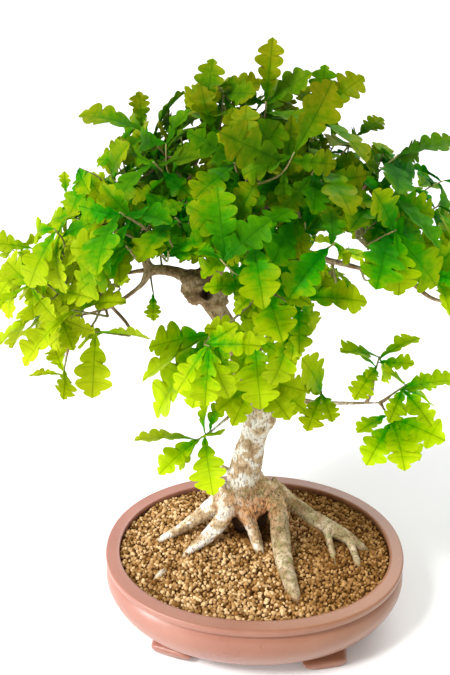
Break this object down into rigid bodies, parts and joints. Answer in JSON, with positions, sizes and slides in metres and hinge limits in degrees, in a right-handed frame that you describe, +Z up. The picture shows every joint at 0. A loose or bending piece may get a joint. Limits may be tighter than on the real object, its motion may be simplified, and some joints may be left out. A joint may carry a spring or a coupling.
{
  "type": "english oak bonsai",
  "caption": "Small oak tree with lobed leaves, a gnarled pale trunk and spreading surface roots, standing in gritty soil in an oval footed clay pot.",
  "frame": {"origin": "on the standing surface, under the middle of the pot, which is also within 3 mm of the middle of the whole object's box", "axes": "+Z up, +X to the right and -Y towards the viewer as the tree is looked at from its front"},
  "size_m": [0.5194, 0.3739, 0.634],
  "materials": {
    "pot_clay": "unglazed, smooth with a faint sheen",
    "soil_grit": "matt fired clay grit",
    "net_plastic": "matt",
    "bark": "rough bark",
    "oak_leaf": "leaf, soft sheen"
  },
  "bodies": {
    "root": {"pot": "pot_clay", "soil": "soil_grit", "drain_net_left": "net_plastic", "drain_net_right": "net_plastic", "tree_wood": "bark", "leafy_shoot_01": "oak_leaf", "leafy_shoot_02": "oak_leaf", "leafy_shoot_03": "oak_leaf", "leafy_shoot_04": "oak_leaf", "leafy_shoot_05": "oak_leaf", "leafy_shoot_06": "oak_leaf", "leafy_shoot_07": "oak_leaf", "leafy_shoot_08": "oak_leaf", "leafy_shoot_09": "oak_leaf", "leafy_shoot_10": "oak_leaf", "leafy_shoot_11": "oak_leaf", "leafy_shoot_12": "oak_leaf", "leafy_shoot_13": "oak_leaf", "leafy_shoot_14": "oak_leaf", "leafy_shoot_15": "oak_leaf", "leafy_shoot_16": "oak_leaf", "leafy_shoot_17": "oak_leaf", "leafy_shoot_18": "oak_leaf", "leafy_shoot_19": "oak_leaf", "leafy_shoot_20": "oak_leaf", "leafy_shoot_21": "oak_leaf", "leafy_shoot_22": "oak_leaf", "leafy_shoot_23": "oak_leaf", "leafy_shoot_24": "oak_leaf", "leafy_shoot_25": "oak_leaf", "leafy_shoot_26": "oak_leaf", "leafy_shoot_27": "oak_leaf", "leafy_shoot_28": "oak_leaf", "leafy_shoot_29": "oak_leaf", "leafy_shoot_30": "oak_leaf", "leafy_shoot_31": "oak_leaf", "leafy_shoot_32": "oak_leaf", "leafy_shoot_33": "oak_leaf", "leafy_shoot_34": "oak_leaf", "leafy_shoot_35": "oak_leaf", "leafy_shoot_36": "oak_leaf", "leafy_shoot_37": "oak_leaf", "leafy_shoot_38": "oak_leaf", "leafy_shoot_39": "oak_leaf", "leafy_shoot_40": "oak_leaf", "leafy_shoot_41": "oak_leaf", "leafy_shoot_42": "oak_leaf", "leafy_shoot_43": "oak_leaf", "leafy_shoot_44": "oak_leaf", "leafy_shoot_45": "oak_leaf", "leafy_shoot_46": "oak_leaf", "leafy_shoot_47": "oak_leaf", "leafy_shoot_48": "oak_leaf", "leafy_shoot_49": "oak_leaf", "leafy_shoot_50": "oak_leaf"}
  },
  "joints": []
}
